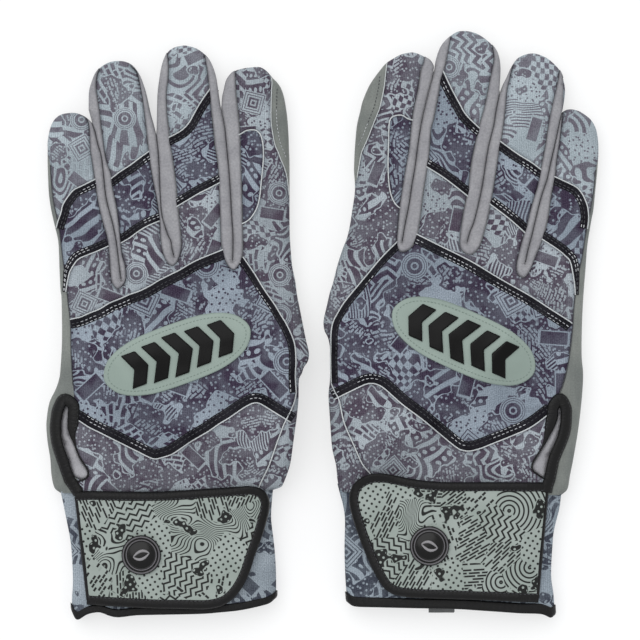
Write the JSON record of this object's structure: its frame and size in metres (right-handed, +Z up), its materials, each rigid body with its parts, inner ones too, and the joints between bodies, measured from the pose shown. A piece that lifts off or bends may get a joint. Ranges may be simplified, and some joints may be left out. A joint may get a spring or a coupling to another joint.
{
  "type": "batting gloves",
  "caption": "Pair of printed batting gloves with leather palms, finger gussets, wrist straps and hollow, folding fingers and thumbs.",
  "frame": {"origin": "middle of the pair's bounding box, on the surface that the gloves lie on", "axes": "+X from the left glove to the right one, +Y towards the fingertips, +Z up from the palms to the backs"},
  "size_m": [0.2286, 0.242, 0.028],
  "materials": {
    "leather": "soft grey-green palm leather, matt with fine grain",
    "print_light": "light blue-grey stretch mesh with a grey-violet print",
    "print_dark": "darker slate blue stretch mesh with a dark violet print",
    "cuff_print": "printed neoprene cuff, matt",
    "gusset_fabric": "smooth violet-grey stretch fabric",
    "black_trim": "black bound tape with silver stitching",
    "emblem_rubber": "moulded sage rubber, satin",
    "strap_face": "sage coated fabric with a black print, satin",
    "badge_rubber": "black moulded rubber, satin",
    "hook_plastic": "dark hook tape",
    "loop_fabric": "grey loop tape"
  },
  "bodies": {
    "left_hand": {"left_palm_leather": "leather", "left_back_panel": "print_dark", "left_lower_back_panel": "print_light", "left_thumb_side_panel": "print_light", "left_upper_chevron_piping": "black_trim", "left_lower_chevron_piping": "black_trim", "left_emblem_plate": "emblem_rubber", "left_cuff": "cuff_print", "left_cuff_binding": "black_trim", "left_slit_binding": "black_trim", "left_loop_patch": "loop_fabric"},
    "left_fingers": {"left_finger_leather": "leather", "left_knuckle_panel": "print_light", "left_pinky_back": "print_light", "left_ring_back": "print_light", "left_middle_back": "print_light", "left_index_back": "print_light", "left_pinky_flex": "print_dark", "left_ring_flex": "print_dark", "left_middle_flex": "print_dark", "left_index_flex": "print_dark", "left_pinky_ring_gusset": "gusset_fabric", "left_ring_middle_gusset": "gusset_fabric", "left_middle_index_gusset": "gusset_fabric"},
    "left_thumb": {"left_thumb_leather": "leather", "left_thumb_back": "print_dark"},
    "left_strap": {"left_strap": "strap_face", "left_strap_binding": "black_trim", "left_hook_patch": "hook_plastic", "left_strap_badge": "badge_rubber"},
    "right_hand": {"right_palm_leather": "leather", "right_back_panel": "print_dark", "right_lower_back_panel": "print_light", "right_thumb_side_panel": "print_light", "right_upper_chevron_piping": "black_trim", "right_lower_chevron_piping": "black_trim", "right_emblem_plate": "emblem_rubber", "right_cuff": "cuff_print", "right_cuff_binding": "black_trim", "right_slit_binding": "black_trim", "right_loop_patch": "loop_fabric"},
    "right_fingers": {"right_finger_leather": "leather", "right_knuckle_panel": "print_light", "right_pinky_back": "print_light", "right_ring_back": "print_light", "right_middle_back": "print_light", "right_index_back": "print_light", "right_pinky_flex": "print_dark", "right_ring_flex": "print_dark", "right_middle_flex": "print_dark", "right_index_flex": "print_dark", "right_pinky_ring_gusset": "gusset_fabric", "right_ring_middle_gusset": "gusset_fabric", "right_middle_index_gusset": "gusset_fabric"},
    "right_thumb": {"right_thumb_leather": "leather", "right_thumb_back": "print_dark"},
    "right_strap": {"right_strap": "strap_face", "right_strap_binding": "black_trim", "right_hook_patch": "hook_plastic", "right_strap_badge": "badge_rubber"}
  },
  "joints": [
    {"name": "left_finger_fold", "type": "hinge", "parent": "left_hand", "child": "left_fingers", "pos_m": [-0.10973, 0.00347, 0], "axis": [-0.9778, -0.2096, 0], "range_deg": [0, 90]},
    {"name": "left_thumb_fold", "type": "hinge", "parent": "left_hand", "child": "left_thumb", "pos_m": [-0.01399, -0.01643, 0.008], "axis": [-0.1565, -0.9877, 0], "range_deg": [0, 90]},
    {"name": "left_strap_open", "type": "hinge", "parent": "left_hand", "child": "left_strap", "pos_m": [-0.10061, -0.06992, 0.0152], "axis": [0.0834, -0.9965, 0], "range_deg": [0, 165]},
    {"name": "right_finger_fold", "type": "hinge", "parent": "right_hand", "child": "right_fingers", "pos_m": [0.10869, 0.0072, 0], "axis": [-0.9763, 0.2166, 0], "range_deg": [0, 90]},
    {"name": "right_thumb_fold", "type": "hinge", "parent": "right_hand", "child": "right_thumb", "pos_m": [0.0117, -0.01229, 0.008], "axis": [0, 1, 0], "range_deg": [0, 90]},
    {"name": "right_strap_open", "type": "hinge", "parent": "right_hand", "child": "right_strap", "pos_m": [0.09356, -0.06619, 0.0152], "axis": [0.083, 0.9965, 0], "range_deg": [0, 165]},
    {"name": "right_glove_apart", "type": "slide", "parent": "left_hand", "child": "right_hand", "axis": [1, 0, 0], "range_m": [0, 0.2]}
  ]
}
